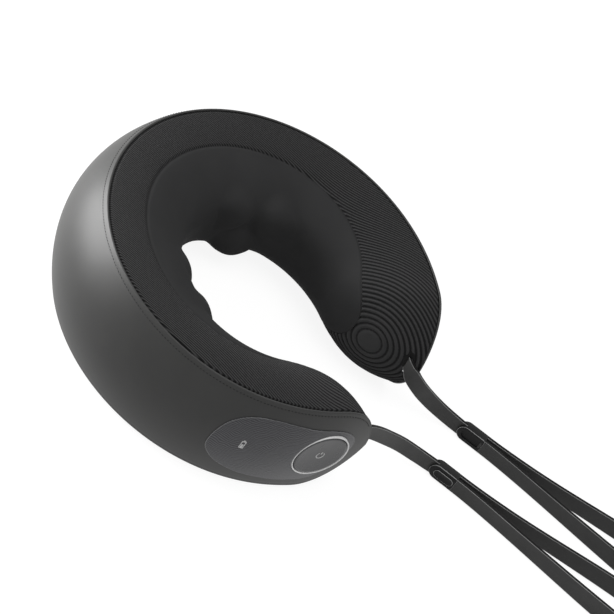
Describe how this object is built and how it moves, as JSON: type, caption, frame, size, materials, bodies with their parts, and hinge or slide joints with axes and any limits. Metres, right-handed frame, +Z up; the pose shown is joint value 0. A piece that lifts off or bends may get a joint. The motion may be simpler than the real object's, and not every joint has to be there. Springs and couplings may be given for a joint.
{
  "type": "shiatsu neck massager",
  "caption": "Horseshoe neck massager with kneading heads behind stretch fabric, a glossy side panel with a round power button, and hand straps at the tips.",
  "frame": {"origin": "centre of the neck opening, on the surface that the collar lies on", "axes": "+Z up out of the surface, +Y towards the back of the collar, +X towards the arm without the panel; the tips and straps point towards -Y"},
  "size_m": [0.255, 0.4821, 0.0728],
  "materials": {
    "grey_leather": "soft satin grain",
    "ribbed_knit": "fine ribbed knit",
    "stretch_knit": "smooth stretch knit",
    "foam": "open foam",
    "chassis_plastic": "moulded ABS",
    "heater_film": "flexible heater film",
    "zinc_screw": "zinc plated",
    "cell_wrap": "shrink wrap",
    "dark_plastic": "moulded",
    "board": "printed circuit board",
    "panel_gloss": "glossy smoked panel",
    "button_gloss": "glossy dished cap",
    "ring_white": "translucent light guide",
    "gearbox_plastic": "moulded acetal",
    "bronze": "sintered bronze",
    "steel": "turned steel",
    "gear_plastic": "acetal",
    "node_rubber": "soft overmould",
    "strap_grey": "soft flat band",
    "keeper_plastic": "moulded slide"
  },
  "bodies": {
    "collar": {"leather_cover": "grey_leather", "ribbed_cover": "ribbed_knit", "inner_cover": "stretch_knit", "cover_foam": "foam", "outer_foam": "foam", "chassis_top": "chassis_plastic", "chassis_bottom": "chassis_plastic", "inner_frame_back": "chassis_plastic", "inner_frame_left": "chassis_plastic", "inner_frame_right": "chassis_plastic", "heating_pad_left": "heater_film", "heating_pad_right": "heater_film", "chassis_screws": "zinc_screw", "gearbox_case_left": "gearbox_plastic", "gearbox_case_right": "gearbox_plastic", "gearbox_cover_left": "gearbox_plastic", "gearbox_cover_right": "gearbox_plastic", "gearbox_screws_left": "zinc_screw", "gearbox_screws_right": "zinc_screw", "shaft_bushes_left": "bronze", "shaft_bushes_right": "bronze", "motor_left": "steel", "motor_right": "steel", "battery_cells": "cell_wrap", "battery_tray": "dark_plastic", "main_board": "board", "power_switch": "zinc_screw", "panel_lens": "panel_gloss", "power_ring": "ring_white", "charge_board": "board", "charge_socket": "zinc_screw", "charge_bezel": "dark_plastic", "tip_bracket_left": "dark_plastic", "tip_bracket_right": "dark_plastic", "strap_rivet_left": "steel", "strap_rivet_right": "steel"},
    "power_button": {"power_button": "button_gloss"},
    "head_left": {"output_shaft_left": "steel", "output_gear_left": "gear_plastic", "head_carrier_left": "dark_plastic", "massage_nodes_left": "node_rubber"},
    "rotor_left": {"motor_pinion_left": "bronze"},
    "strap_left": {"strap_lead_left": "strap_grey", "strap_keeper_left": "keeper_plastic", "strap_loop_left": "strap_grey"},
    "head_right": {"output_shaft_right": "steel", "output_gear_right": "gear_plastic", "head_carrier_right": "dark_plastic", "massage_nodes_right": "node_rubber"},
    "rotor_right": {"motor_pinion_right": "bronze"},
    "strap_right": {"strap_lead_right": "strap_grey", "strap_keeper_right": "keeper_plastic", "strap_loop_right": "strap_grey"}
  },
  "joints": [
    {"name": "knead_left", "type": "hinge", "parent": "collar", "child": "head_left", "pos_m": [-0.04744, 0.08658, 0.0382], "axis": [0.7992, -0.601, 0], "continuous": true, "deforming": ["inner_cover"]},
    {"name": "motor_spin_left", "type": "hinge", "parent": "collar", "child": "rotor_left", "pos_m": [-0.06258, 0.06644, 0.0382], "axis": [0.7992, -0.601, 0], "continuous": true},
    {"name": "knead_right", "type": "hinge", "parent": "collar", "child": "head_right", "pos_m": [0.04744, 0.08658, 0.0382], "axis": [-0.7992, -0.601, 0], "continuous": true, "deforming": ["inner_cover"]},
    {"name": "motor_spin_right", "type": "hinge", "parent": "collar", "child": "rotor_right", "pos_m": [0.06258, 0.06644, 0.0382], "axis": [-0.7992, -0.601, 0], "continuous": true},
    {"name": "power_press", "type": "slide", "parent": "collar", "child": "power_button", "axis": [0.6286, 0.7777, 0], "range_m": [0, 0.0006], "stiffness_N_per_m": 2500},
    {"name": "strap_swing_left", "type": "hinge", "parent": "collar", "child": "strap_left", "pos_m": [-0.045, -0.037, 0.0402], "axis": [-0.8221, -0.5693, 0], "range_deg": [0, 40]},
    {"name": "strap_swing_right", "type": "hinge", "parent": "collar", "child": "strap_right", "pos_m": [0.045, -0.037, 0.0402], "axis": [-0.8221, 0.5693, 0], "range_deg": [0, 40]}
  ],
  "couplings": [
    {"joint": "motor_spin_left", "follows": "knead_left", "ratio": -2.5},
    {"joint": "motor_spin_right", "follows": "knead_right", "ratio": -2.5}
  ]
}
